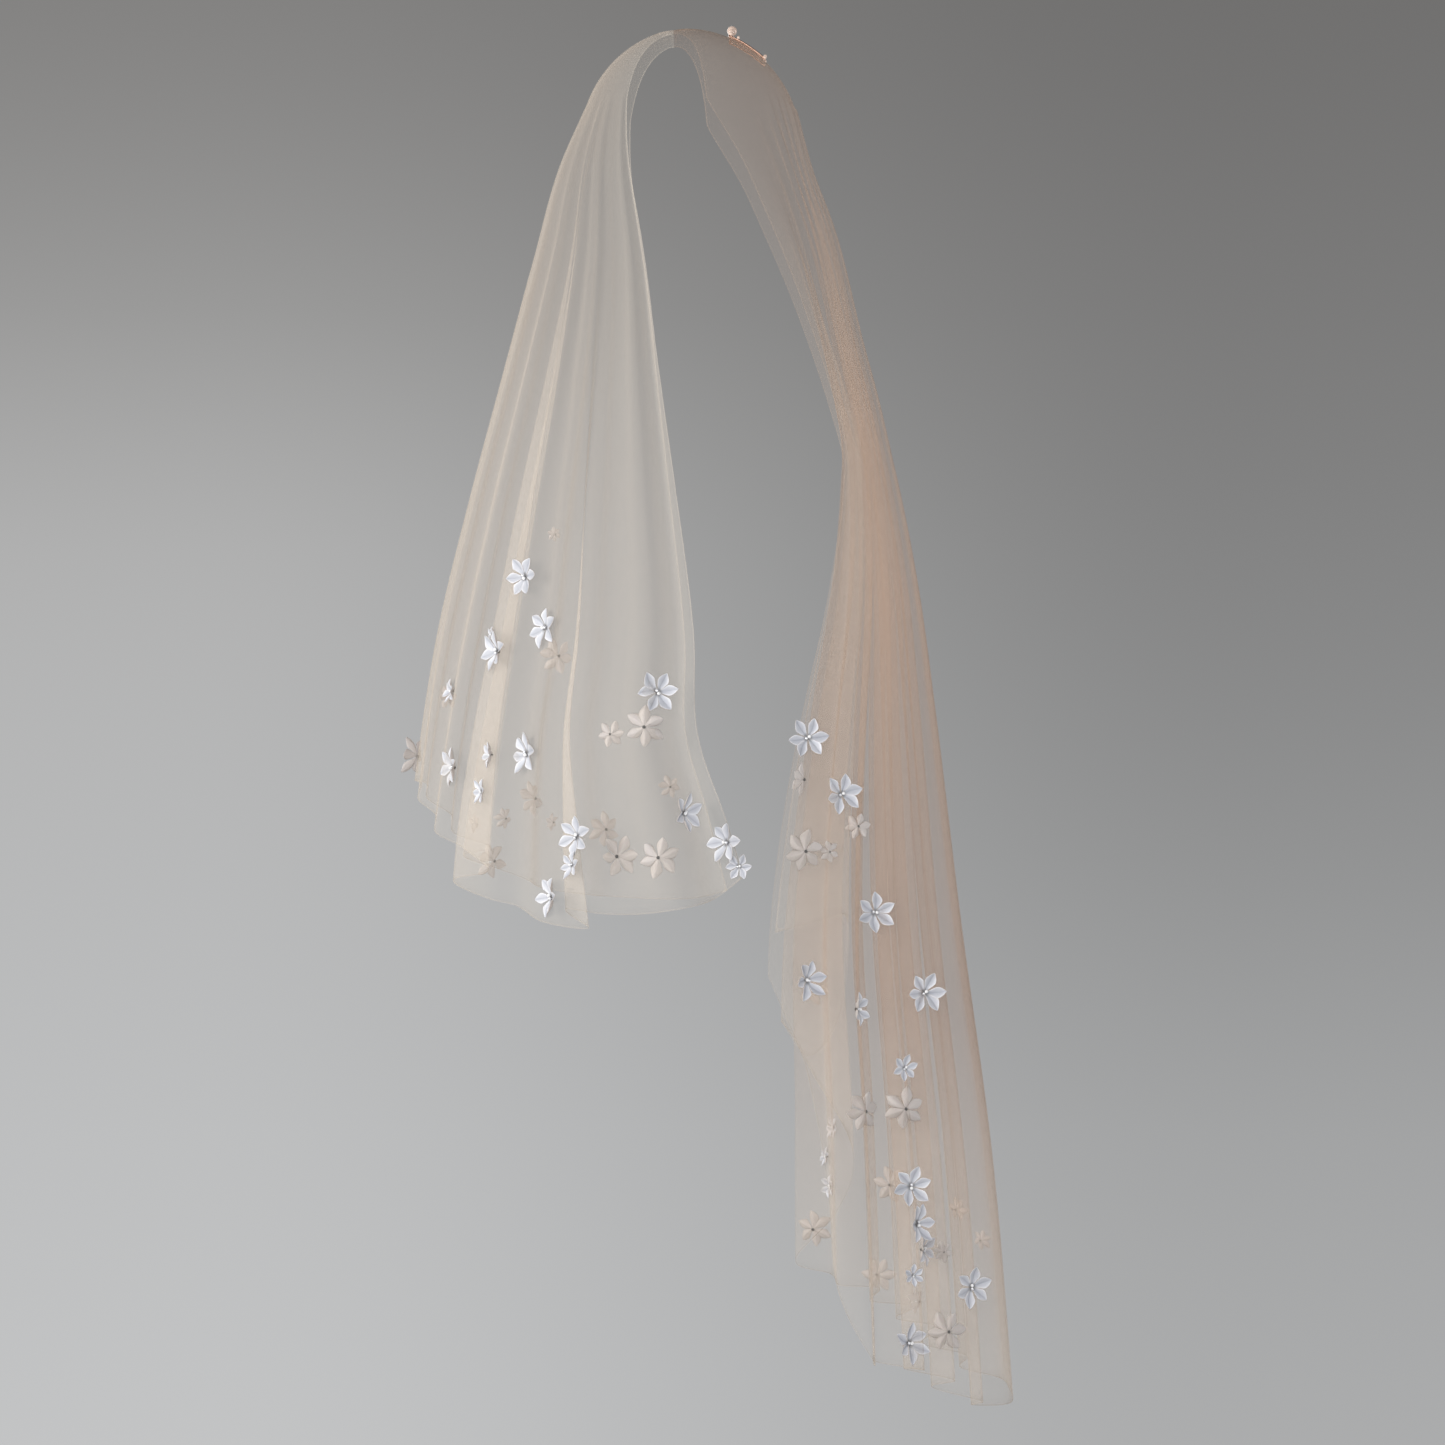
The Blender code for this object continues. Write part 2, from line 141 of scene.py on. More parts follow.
def makeCamera():
    camera = bpy.data.objects.new("camera", bpy.data.cameras.new("camera"))
    scene.collection.objects.link(camera)
    distance = studio["cameraDistance"]
    camera.data.sensor_width = studio["sensor"]
    camera.data.lens = studio["sensor"] * distance / (studio["imageSize"] * studio["millimetresPerPixel"])
    camera.location = (Vector(studio["aim"]) + Vector((distance, 0, 0))) * mm
    camera.rotation_euler = (math.radians(90), 0, math.radians(90))
    scene.camera = camera


def makeWall():
    # the world is the studio's grey wall: darker above and behind the veil, paler below and in front
    world = bpy.data.worlds.new("greyWall")
    world.use_nodes = True
    scene.world = world
    tree = world.node_tree
    background = tree.nodes["Background"]
    sight = tree.nodes.new("ShaderNodeTexCoord").outputs["Generated"]
    parts = tree.nodes.new("ShaderNodeSeparateXYZ")
    tree.links.new(sight, parts.inputs[0])
    low, high = studio["wall"][0][0], studio["wall"][-1][0]
    height = calc(tree, "DIVIDE", calc(tree, "SUBTRACT", parts.outputs["Z"], low), high - low)
    sides = []
    for column in (1, 2):
        stops = []
        for row in studio["wall"]:
            tinted = tuple(row[column] * (1 + tint * row[3]) for tint in (1, 0, -1))
            stops.append(((row[0] - low) / (high - low), tinted))
        sides.append(rampOf(tree, height, stops))
    start, end = studio["wallTurnsAt"]
    turn = tree.nodes.new("ShaderNodeMapRange")
    turn.interpolation_type = "SMOOTHSTEP"
    tree.links.new(parts.outputs["Y"], turn.inputs["Value"])
    turn.inputs["From Min"].default_value = start
    turn.inputs["From Max"].default_value = end
    tree.links.new(mixColour(tree, turn.outputs[0], *sides), background.inputs["Color"])


def makeFloor():
    bpy.ops.mesh.primitive_circle_add(
        vertices=96, radius=studio["floorRadius"] * mm, fill_type="NGON",
        location=(0, 0, studio["floorHeight"] * mm))
    floor = bpy.context.object
    floor.name = "studioFloor"
    material, tree, shader = newMaterial("paleFloor")
    place = tree.nodes.new("ShaderNodeTexCoord").outputs["Object"]
    mottle = noiseOf(tree, place, 3.0, 4.0)
    pale = studio["floorColour"]
    darker = tuple(studio["floorMottle"] * c for c in pale)
    tree.links.new(mixColour(tree, mottle, pale, darker), shader.inputs["Base Color"])
    shader.inputs["Roughness"].default_value = 0.8
    floor.data.materials.append(material)


def makeLights():
    for name, (place, width, watts, colour) in studio["lights"].items():
        light = bpy.data.objects.new(name, bpy.data.lights.new(name, "AREA"))
        scene.collection.objects.link(light)
        light.data.shape = "DISK"
        light.data.size = width
        light.data.energy = watts
        light.data.color = colour
        light.location = place
        light.visible_camera = False
        look = Vector(studio["aim"]) * mm - Vector(place)
        light.rotation_mode = "QUATERNION"
        light.rotation_quaternion = look.to_track_quat("-Z", "Y")


makeCamera()
makeWall()
makeFloor()
makeLights()
scene.view_settings.view_transform = "Standard"
scene.cycles.transparent_max_bounces = 160    # each layer of tulle that a ray goes through counts
scene.cycles.max_bounces = 5
scene.cycles.diffuse_bounces = 2
print("studio ready")

# Meshes worked out as whole arrays


def smoothThrough(x, tableX, tableY):
    # cubic curve through every row of a table: Hermite pieces with central-difference slopes
    slope = np.gradient(tableY, tableX)
    i = np.clip(np.searchsorted(tableX, x) - 1, 0, len(tableX) - 2)
    step = tableX[i + 1] - tableX[i]
    t = np.clip((x - tableX[i]) / step, 0.0, 1.0)
    level = tableY[i] * (2 * t**3 - 3 * t**2 + 1) + tableY[i + 1] * (3 * t**2 - 2 * t**3)
    return level + step * (slope[i] * (t**3 - 2 * t**2 + t) + slope[i + 1] * (t**3 - t**2))


def gridFaces(rows, columns, wrap=False):
    # corner numbers of the quads of a grid, row by row; wrap joins the last column to the first
    r = np.arange(rows - 1)[:, None]
    c = np.arange(columns if wrap else columns - 1)[None, :]
    nextC = (c + 1) % columns
    corners = (r * columns + c, r * columns + nextC, (r + 1) * columns + nextC, (r + 1) * columns + c)
    return np.stack([np.broadcast_to(k, (rows - 1, c.shape[1])) for k in corners], axis=-1).reshape(-1, 4)


def meshOf(name, points, faces, material):
    # a mesh object from an array of points in metres and an array of quads
    mesh = bpy.data.meshes.new(name)
    mesh.vertices.add(len(points))
    mesh.vertices.foreach_set("co", np.asarray(points, np.float32).ravel())
    mesh.loops.add(faces.size)
    mesh.loops.foreach_set("vertex_index", faces.ravel().astype(np.int32))
    mesh.polygons.add(len(faces))
    mesh.polygons.foreach_set("loop_start", np.arange(0, faces.size, 4, dtype=np.int32))
    mesh.update(calc_edges=True)
    mesh.validate()
    mesh.shade_smooth()
    mesh.materials.append(material)
    piece = bpy.data.objects.new(name, mesh)
    scene.collection.objects.link(piece)
    return piece


def giveUv(piece, uv):
    # one UV pair for each point of the mesh, spread to its corners
    mesh = piece.data
    corner = np.zeros(len(mesh.loops), np.int32)
    mesh.loops.foreach_get("vertex_index", corner)
    layer = mesh.uv_layers.new(name="clothMetres")
    layer.data.foreach_set("uv", np.asarray(uv, np.float32)[corner].ravel())


def giveAttribute(piece, name, values):
    attribute = piece.data.attributes.new(name, "FLOAT", "POINT")
    attribute.data.foreach_set("value", np.asarray(values, np.float32))


def giveWall(piece, thickness, offset=0.0):
    wall = piece.modifiers.new("wall", "SOLIDIFY")
    wall.thickness = thickness * mm
    wall.offset = offset
    return wall


def surfaceOf(*shapes):
    # the finished surfaces of some pieces as one tree for ray casts
    graph = bpy.context.evaluated_depsgraph_get()
    joined = bmesh.new()
    for piece in shapes:
        joined.from_object(piece, graph)
    tree = BVHTree.FromBMesh(joined)
    joined.free()
    return tree


# Tulle: a soft net, nearly clear in one layer, peach where many layers lie together, with painted shade
# deepening it where the pleats are full and near the crown

tulle = {
    "cover": 0.076,            # share of the view that one face of the cloth's wall covers
    "netPitch": 1.5,           # from hole to hole
    "netDepth": 0.35,          # how much the net's holes thin the cover
    "cutEdge": 0.9,            # width of the raw edge that catches the light
    "cutEdgeCover": 0.16,
    "slantFloor": 0.18,        # least cosine of the slant: past it the cover grows no more
    # pairs of colours that drift from one to the other over the cloth
    "fewLayers": ((0.63, 0.555, 0.465), (0.61, 0.56, 0.495)),         # where it hangs open
    "shadedManyLayers": ((0.390, 0.258, 0.180), (0.378, 0.270, 0.202)),     # painted shade where it is gathered deep
    "paintedCrownShade": (0.320, 0.240, 0.188),                               # painted shade where the gathers lie closest, near the crown
    "drift": 9.0,              # how many such drifts to a metre
    "crownEnds": 0.56,         # share of the length where the painted shade near the crown ends
    "crownFade": 0.22,         # and the share over which it fades out
    "palesFrom": 0.8,          # share of the length from which the painted shade fades toward the hem
    "roughness": 0.75,
    "shine": 0.1,
    "sheen": 0.06,
    "sheenRoughness": 0.5,
    "sheenTint": (1.0, 0.90, 0.82),
    "thickness": 0.4,
}


def makeTulleMaterial():
    material, tree, shader = newMaterial("softTulle")
    place = tree.nodes.new("ShaderNodeTexCoord")
    uv = tree.nodes.new("ShaderNodeSeparateXYZ")
    tree.links.new(place.outputs["UV"], uv.inputs[0])
    # hexagonal net: three sets of waves that cross at 60 degrees
    wave = 2 * math.pi / (tulle["netPitch"] * mm)
    net = None
    for turn in (0, 60, 120):
        along = calc(tree, "MULTIPLY", uv.outputs["X"], wave * math.cos(math.radians(turn)))
        phase = calc(tree, "MULTIPLY_ADD", uv.outputs["Y"], wave * math.sin(math.radians(turn)), along)
        ripple = calc(tree, "COSINE", phase)
        net = ripple if net is None else calc(tree, "ADD", net, ripple)
    mesh = calc(tree, "MULTIPLY_ADD", net, -tulle["netDepth"] / 3, 1.0)
    # seen at a slant, the threads of a net close up: cover = 1 - exp(-k / cosine)
    slant = tree.nodes.new("ShaderNodeLayerWeight")
    slant.inputs["Blend"].default_value = 0.5
    cosine = calc(tree, "SUBTRACT", 1.0, slant.outputs["Facing"])
    cosine = calc(tree, "MAXIMUM", cosine, tulle["slantFloor"])
    thickness = calc(tree, "DIVIDE", calc(tree, "MULTIPLY", mesh, -tulle["cover"]), cosine)
    cover = calc(tree, "SUBTRACT", 1.0, calc(tree, "EXPONENT", thickness))
    edge = tree.nodes.new("ShaderNodeAttribute")
    edge.attribute_name = "fromEdge"
    raw = calc(tree, "LESS_THAN", edge.outputs["Fac"], tulle["cutEdge"])
    cover = calc(tree, "MULTIPLY_ADD", raw, tulle["cutEdgeCover"], cover)
    tree.links.new(cover, shader.inputs["Alpha"])
    cloud = noiseOf(tree, place.outputs["Object"], tulle["drift"])
    # painted shade: the colour deepens toward the shaded many-layer colour where the pleats are full
    depth = tree.nodes.new("ShaderNodeAttribute")
    depth.attribute_name = "fullnessShade"
    few, manyShaded = (mixColour(tree, cloud, *tulle[name]) for name in ("fewLayers", "shadedManyLayers"))
    colour = mixColour(tree, depth.outputs["Fac"], few, manyShaded)
    # painted shade near the crown, where the gathers lie closest
    crownShade = tree.nodes.new("ShaderNodeAttribute")
    crownShade.attribute_name = "paintedCrownShade"
    colour = mixColour(tree, crownShade.outputs["Fac"], colour, tulle["paintedCrownShade"])
    tree.links.new(colour, shader.inputs["Base Color"])
    shader.inputs["Roughness"].default_value = tulle["roughness"]
    shader.inputs["Specular IOR Level"].default_value = tulle["shine"]
    shader.inputs["Sheen Weight"].default_value = tulle["sheen"]
    shader.inputs["Sheen Roughness"].default_value = tulle["sheenRoughness"]
    shader.inputs["Sheen Tint"].default_value = (*tulle["sheenTint"], 1.0)
    return material


# The dome that the veil is laid on: an egg with its middle a little in front of the crown
dome = {
    "side": 78.0, "front": 100.0, "back": 105.0, "height": 110.0, "middleY": -12.0,
    "leavesAt": 75.0,           # drop where the cloth leaves the dome
    "share": 0.3,               # share of a tier's length that lies on the dome
    "cadWall": 1.2,
    "seamHalfWidth": 30.0, "seamY": -25.0, "sewGap": 0.35,
}
# share of the dome's full width that it has where the cloth leaves it, and its reaches there
dome["widthWhereLeft"] = math.sqrt(1 - (1 - dome["leavesAt"] / dome["height"]) ** 2)
sideWhereLeft, frontWhereLeft, backWhereLeft = (
    dome[way] * dome["widthWhereLeft"] for way in ("side", "front", "back"))


def domeHeight(x, y):
    # z of the cloth on the egg: half a wall above height * (sqrt(1 - (x/side)^2 - (y/length)^2) - 1)
    length = np.where(y < dome["middleY"], dome["front"], dome["back"])
    inside = 1 - (x / dome["side"]) ** 2 - ((y - dome["middleY"]) / length) ** 2
    return dome["cadWall"] / 2 - dome["height"] * (1 - np.sqrt(np.maximum(inside, 0.0)))


# Each tier hangs through rings, and its folds run from the seam to the hem.
# facing: -1 hangs to the front and 1 to the back
# rings: drop below the crown, reach to the front or back, side, half angle in degrees,
#   swell (how much of its depth a fold has there), settle (how far folds have moved to their hem places)
# folds, from the veil's left round to its right:
#   place on the dome, place at the hem, depth out, hem's drop
# creases: place across (0 to 1), where it starts and ends down the cloth (0 to 1),
#   how far it leans across on the way, depth out, half width across

frontTier = {
    "facing": -1.0,
    "rings": (
        (dome["leavesAt"], frontWhereLeft, sideWhereLeft, 55, 0.04, 0.00),
        (121, 114, 82, 62, 0.09, 0.05),
        (209, 136, 101, 73, 0.22, 0.15),
        (320, 161, 148, 81, 0.42, 0.33),
        (428, 186, 190, 87, 0.58, 0.48),
        (559, 213, 221, 92, 0.76, 0.60),
        (650, 225, 236, 93, 0.87, 0.72),
        (720, 232, 246, 99, 0.94, 0.86),
        (830, 238, 256, 107, 1.00, 1.00),
    ),
    "folds": (
        (1.000, 1.000, -6, 768),
        (0.980, 0.935, -24, 786),
        (0.955, 0.860, 12, 793),
        (0.910, 0.770, -4, 799),
        (0.865, 0.680, -12, 800),
        (0.810, 0.590, -14, 797),
        (0.770, 0.666, 8, 811),
        (0.730, 0.560, 3, 807),
        (0.690, 0.480, -6, 795),
        (0.655, 0.420, 6, 789),
        (0.620, 0.305, 10, 775),
        (0.585, 0.375, -10, 766),
        (0.545, 0.250, -10, 748),
        (0.480, 0.190, 9, 735),
        (0.380, 0.135, 4, 720),
        (0.260, 0.090, 19, 706),
        (0.130, 0.045, 14, 694),
        (0.000, 0.000, 24, 690),
        (-0.130, -0.045, 15, 694),
        (-0.260, -0.095, 20, 708),
        (-0.370, -0.150, 3, 724),
        (-0.460, -0.210, 11, 742),
        (-0.530, -0.290, -12, 756),
        (-0.575, -0.245, 9, 764),
        (-0.630, -0.360, 4, 778),
        (-0.690, -0.430, -9, 790),
        (-0.745, -0.510, 9, 800),
        (-0.800, -0.590, -10, 806),
        (-0.850, -0.680, 8, 810),
        (-0.905, -0.780, -9, 812),
        (-0.955, -0.860, 9, 812),
        (-1.000, -0.940, -4, 804),
    ),
    "creases": (
        (0.055, 0.36, 0.95, 0.012, 2.6, 0.010),
        (0.125, 0.44, 1.05, -0.010, -1.8, 0.016),
        (0.180, 0.28, 0.72, 0.014, 2.0, 0.007),
        (0.262, 0.50, 1.05, 0.006, 3.2, 0.014),
        (0.300, 0.32, 0.86, -0.012, -1.4, 0.008),
        (0.392, 0.38, 1.00, 0.010, 2.2, 0.018),
        (0.430, 0.30, 0.66, 0.006, 1.2, 0.006),
        (0.515, 0.46, 1.05, -0.008, 2.8, 0.013),
        (0.570, 0.30, 0.80, 0.010, -1.7, 0.009),
        (0.655, 0.40, 1.00, 0.008, 2.4, 0.015),
        (0.718, 0.34, 0.92, -0.014, 1.5, 0.007),
        (0.795, 0.48, 1.05, 0.010, -2.1, 0.017),
        (0.868, 0.30, 0.78, 0.006, 2.7, 0.010),
        (0.935, 0.42, 1.00, -0.010, 1.6, 0.012),
    ),
    "fullnessShade": (0.0, 0.15),        # share of painted shade at the free edges and in the middle, 0 to 1
    "fullnessShadeAtHem": 0.5,           # its share that is left at the hem
    "columnsAFold": 15,
    "rowsOnDome": 22,
    "rowsHanging": 80,
    # flat cut, in metres, and its area as a share of width times length
    "flat": (1.35, 0.84),
    "cutShare": 0.52,
}

backTier = {
    "facing": 1.0,
    "rings": (
        (dome["leavesAt"], backWhereLeft, sideWhereLeft, 80, 0.04, 0.00),
        (131, 113, 84, 64, 0.09, 0.06),
        (178, 128, 93, 57, 0.17, 0.16),
        (289, 152, 130, 43, 0.30, 0.42),
        (344, 164, 158, 39, 0.38, 0.58),
        (385, 172, 174, 37, 0.42, 0.70),
        (432, 181, 190, 42, 0.47, 0.80),
        (524, 195, 212, 52, 0.56, 0.86),
        (615, 204, 230, 61, 0.66, 0.90),
        (815, 223, 254, 73, 0.82, 0.96),
        (1029, 248, 270, 76, 0.93, 1.00),
        (1290, 268, 284, 78, 1.00, 1.00),
    ),
    "folds": (
        (1.000, 0.960, 4, 815),
        (0.920, 0.820, 9, 806),
        (0.840, 0.690, -2, 808),
        (0.800, 0.700, -12, 884),
        (0.755, 0.810, -17, 922),
        (0.710, 0.900, -24, 892),
        (0.660, 0.800, -34, 930),
        (0.610, 0.735, -33, 1030),
        (0.565, 0.740, -18, 1120),
        (0.520, 0.690, 8, 1180),
        (0.475, 0.620, -16, 1188),
        (0.430, 0.550, 18, 1194),
        (0.385, 0.500, -18, 1200),
        (0.340, 0.430, 18, 1210),
        (0.295, 0.385, -14, 1222),
        (0.245, 0.310, 22, 1236),
        (0.185, 0.240, 4, 1246),
        (0.100, 0.130, 31, 1252),
        (0.000, 0.000, 32, 1250),
        (-0.100, -0.125, 31, 1250),
        (-0.180, -0.220, 4, 1246),
        (-0.240, -0.285, 21, 1240),
        (-0.290, -0.350, -14, 1230),
        (-0.340, -0.390, 18, 1220),
        (-0.385, -0.455, -18, 1212),
        (-0.430, -0.500, 18, 1206),
        (-0.475, -0.565, -18, 1200),
        (-0.525, -0.620, 17, 1194),
        (-0.580, -0.690, -14, 1190),
        (-0.640, -0.760, 8, 1184),
        (-0.710, -0.860, 2, 1172),
        (-0.790, -0.740, 12, 1120),
        (-0.860, -0.700, 20, 1060),
        (-0.930, -0.840, 26, 980),
        (-1.000, -0.960, 22, 890),
    ),
    "creases": (
        (0.048, 0.36, 0.92, 0.010, 2.4, 0.012),
        (0.110, 0.44, 1.05, -0.010, -2.0, 0.018),
        (0.158, 0.30, 0.70, 0.008, 1.4, 0.007),
        (0.240, 0.40, 1.00, 0.012, 3.0, 0.015),
        (0.322, 0.30, 0.84, -0.010, -1.6, 0.010),
        (0.372, 0.52, 1.05, 0.008, 2.2, 0.008),
        (0.468, 0.34, 0.96, 0.006, 1.8, 0.020),
        (0.545, 0.44, 1.05, -0.012, -2.6, 0.012),
        (0.612, 0.30, 0.76, 0.010, 1.5, 0.008),
        (0.690, 0.38, 1.00, 0.006, 2.8, 0.016),
        (0.752, 0.48, 1.05, -0.008, 1.3, 0.009),
        (0.838, 0.32, 0.88, 0.010, -2.2, 0.014),
        (0.925, 0.42, 1.05, -0.008, 2.0, 0.011),
    ),
    # painted shade from the free edges to the middle, 0 to 1
    "fullnessShade": (0.55, 1.0),
    "fullnessShadeAtHem": 0.25,
    "columnsAFold": 14,
    "rowsOnDome": 20,
    "rowsHanging": 80,
    "flat": (1.75, 1.32),
    "cutShare": 0.46,
}

# Fine gathers where the cloth is sewn to the comb: they die out a little way down the dome
gathers = {
    "count": 34,
    "depth": 0.8,
    "wander": 2.3,              # how far they stray from even spacing, in radians
    "wanderAcross": 9,          # how fast that changes across and down the cloth
    "wanderDown": 2,
    "fullAt": 0.03,             # shares of the length where they are full and where they end
    "fadesAt": 0.12,
}


def tierPoints(tier, across, down):
    # across and down run from 0 to 1. Below the dome a point lies on an oval ring whose size follows
    # its drop, turned to its fold's angle and moved out by the fold and the creases. On the dome it
    # runs from the seam to that ring's top, over the egg.
    # crease = depth * exp(-(distance / width)^2) * sin(pi * share of its length)^0.7
    # gather = depth * (1 + cos(count * turns across + wander)) / 2, full near the seam
    foldNumber = np.arange(len(tier["folds"]), dtype=float)
    acrossGrid, down = np.meshgrid(across, down, indexing="ij")
    place, hemPlace, out, hemDrop = (
        smoothThrough(acrossGrid * foldNumber[-1], foldNumber, column)
        for column in np.array(tier["folds"], float).T)
    ringDrop, *ringColumns = np.array(tier["rings"], float).T
    share = dome["share"]
    fall = np.clip((down - share) / (1 - share), 0.0, 1.0)
    drop = dome["leavesAt"] + fall * (hemDrop - dome["leavesAt"])
    reach, side, halfAngle, swell, settle = (
        smoothThrough(drop, ringDrop, column) for column in ringColumns)
    crease = np.zeros_like(down)
    for middle, top, bottom, lean, depth, width in tier["creases"]:
        length = np.clip((down - top) / (bottom - top), 0.0, 1.0)
        line = middle + lean * (length - 0.5)
        crease += depth * np.exp(-((acrossGrid - line) / width) ** 2) * np.sin(math.pi * length) ** 0.7
    wander = gathers["wander"] * np.sin(gathers["wanderAcross"] * acrossGrid + gathers["wanderDown"] * down)
    gather = gathers["depth"] * (1 + np.cos(2 * math.pi * gathers["count"] * acrossGrid + wander)) / 2
    gather = gather * np.clip(down / gathers["fullAt"], 0, 1)
    gather = gather * np.clip(1 - down / gathers["fadesAt"], 0, 1) ** 2
    outward = out * swell + crease * fall ** 0.5
    angle = np.radians(halfAngle) * (place + (hemPlace - place) * settle)
    ringX = (side + outward) * np.sin(angle)
    ringY = dome["middleY"] + tier["facing"] * (reach + outward) * np.cos(angle)
    climb = np.clip(down / share, 0.0, 1.0)
    spread = np.sin(climb * math.asin(dome["widthWhereLeft"])) / dome["widthWhereLeft"]
    seamX = dome["seamHalfWidth"] * place
    seamY = dome["seamY"] + tier["facing"] * dome["sewGap"] / 2
    x = seamX + (ringX - seamX) * spread ** 2
    y = seamY + (ringY - seamY) * spread
    onDome = domeHeight(x, y) + gather
    z = np.where(down < share, onDome, dome["cadWall"] / 2 - drop)
    return np.stack((x, y, z), axis=-1) * mm


def lengthsAlong(points, axis):
    # running length in metres along one side of a grid of points
    steps = np.linalg.norm(np.diff(points, axis=axis), axis=-1)
    zero = np.zeros_like(np.take(steps, [0], axis=axis))
    return np.concatenate((zero, np.cumsum(steps, axis=axis)), axis=axis)


def makeTier(name, node, tier, material):
    across = np.linspace(0.0, 1.0, (len(tier["folds"]) - 1) * tier["columnsAFold"] + 1)
    down = np.concatenate((
        np.linspace(0.0, dome["share"], tier["rowsOnDome"] + 1),
        np.linspace(dome["share"], 1.0, tier["rowsHanging"] + 1)[1:]))
    points = tierPoints(tier, across, down)
    acrossLength = lengthsAlong(points, 0)
    downLength = lengthsAlong(points, 1)
    fromEdge = np.minimum(
        np.minimum(acrossLength, acrossLength[-1:] - acrossLength),
        downLength[:, -1:] - downLength) / mm
    middle = len(across) // 2
    u = acrossLength - acrossLength[middle:middle + 1]
    piece = meshOf(name, points.reshape(-1, 3), gridFaces(len(across), len(down)), material)
    giveUv(piece, np.stack((u, downLength), axis=-1).reshape(-1, 2))
    giveAttribute(piece, "fromEdge", fromEdge.ravel())
    # painted shade: the cloth is coloured deepest in the middle of the pleats and lightest at the free
    # edges
    low, high = tier["fullnessShade"]
    middleness = np.sin(math.pi * across)[:, None]
    paling = np.clip((down - tulle["palesFrom"]) / (1 - tulle["palesFrom"]), 0, 1)
    fullnessShade = (low + (high - low) * middleness) * (1 - (1 - tier["fullnessShadeAtHem"]) * paling)[None, :]
    giveAttribute(piece, "fullnessShade", fullnessShade.ravel())
    # painted shade near the crown, as strong as the pleats' painted shade there
    crownShade = np.clip((tulle["crownEnds"] - down) / tulle["crownFade"], 0, 1) ** 0.7
    giveAttribute(piece, "paintedCrownShade", (fullnessShade * crownShade).ravel())
    piece.visible_shadow = False
    giveWall(piece, tulle["thickness"])
    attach(piece, "root")
    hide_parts(node)
    print(name, "hem", round(float(acrossLength[-1, -1]), 2), "m, middle",
          round(float(downLength[middle, -1]), 2), "m")
    return piece


tulleMaterial = makeTulleMaterial()
frontVeil = makeTier("frontVeil", "front_tier", frontTier, tulleMaterial)
backVeil = makeTier("backVeil", "back_tier", backTier, tulleMaterial)
print("tulle hung")

# Satin flowers: six cupped petals with a crease, two beads in the middle and a knot behind

flower = {
    "petals": 6,
    "halfWidth": 0.265,        # of the radius
    "widestAt": 0.54,          # of the petal's length
    "cup": 0.15,               # rise of a petal's rim, of the radius
    "crease": 0.045,           # depth of the midrib
    "creaseWidth": 0.12,
    "vein": 0.008,             # side veins, slanting back from the rim to the midrib
    "veins": 7,                # how many to a petal
    "veinSlant": 1.6,
    "size": (0.92, 1.03),      # least and most length of a petal, of the radius
    "turn": 0.06,              # how far a petal may stray round, in radians
    "lift": (0.10, 0.34),      # least and most rise of a tip, of the radius
    "curl": (-0.16, 0.26),     # how far a tip turns down or up beyond that
    "bend": (-0.09, 0.09),     # how far a petal bows to one side
    "foot": 0.35,              # height of a petal over the cloth
    "overlap": 0.12,           # every other petal lies this much higher
    "rowsAlong": 15,
    "rowsAcross": 10,
    "thickness": 0.3,
    "bead": 3.2,
    "beadFoot": 1.2,
    "silverBead": 2.8,
    "silverFoot": 1.0,
    "knot": 3.0,
    "knotFlat": 0.6,           # share of its height that a knot is pressed flat by
    "fullRadius": 17,          # smaller flowers have smaller beads
    "partingY": 70,            # flowers before this place are on the front tier
    "reach": 12,               # how far from a node's place the cloth is looked for
    "gap": 0.15,
    "innerGap": 0.3,           # more room under a flower on the inner side
    "press": 0.2,              # room kept over the cloth where a turned flower is pressed on it
    "pressSoftness": 1.2,
    "leanUp": 0.06,            # how far a turned flower looks up
    "face": ((0.45, 0.46, 0.50), (0.53, 0.535, 0.570)),     # satin inside a petal, darkened grey-blue as painted shade
    # painted highlight on the rolled rim
    "rimHighlight": (0.78, 0.775, 0.80),
    "rimEdge": 2.6,            # the higher, the narrower the painted highlight on the rim
    "ribShade": (0.34, 0.35, 0.39),
    # painted shade along the midrib crease
    "ribEdge": 60.0,
    "ribDepth": 0.7,
    "base": (0.13, 0.125, 0.12),                            # in the shade of the beads
    "baseEdge": 600.0,
    "baseDepth": 0.85,
    "reverse": (0.54, 0.492, 0.462),                        # the dull back of the satin
}

# Flowers that hang turned, or that show their backs: number, the way it faces and the cloth's side.
# The way is in degrees round from the veil's left towards its front, and 180 is its right.
flowerTurns = {
    1: (-8, "outer"), 2: (186, "inner"), 3: (192, "inner"), 4: (-62, "outer"), 5: (46, "outer"),
    7: (186, "inner"), 8: (202, "inner"), 9: (44, "outer"), 10: (52, "outer"), 11: (66, "outer"),
    12: (54, "outer"), 13: (56, "outer"), 14: (61, "outer"), 15: (38, "outer"), 16: (74, "outer"),
    17: (63, "outer"),
    18: (76, "outer"), 19: (72, "outer"), 20: (124, "outer"), 23: (162, "outer"),
    26: (-6, "outer"), 27: (-16, "outer"), 28: (178, "inner"), 29: (170, "inner"), 30: (-14, "outer"),
    31: (-44, "outer"), 32: (-12, "outer"), 33: (-16, "outer"), 34: (158, "inner"), 35: (172, "inner"),
    36: (-12, "outer"), 37: (-54, "outer"), 38: (-18, "outer"), 39: (168, "inner"),
    40: (-42, "outer"), 41: (70, "inner"),
}

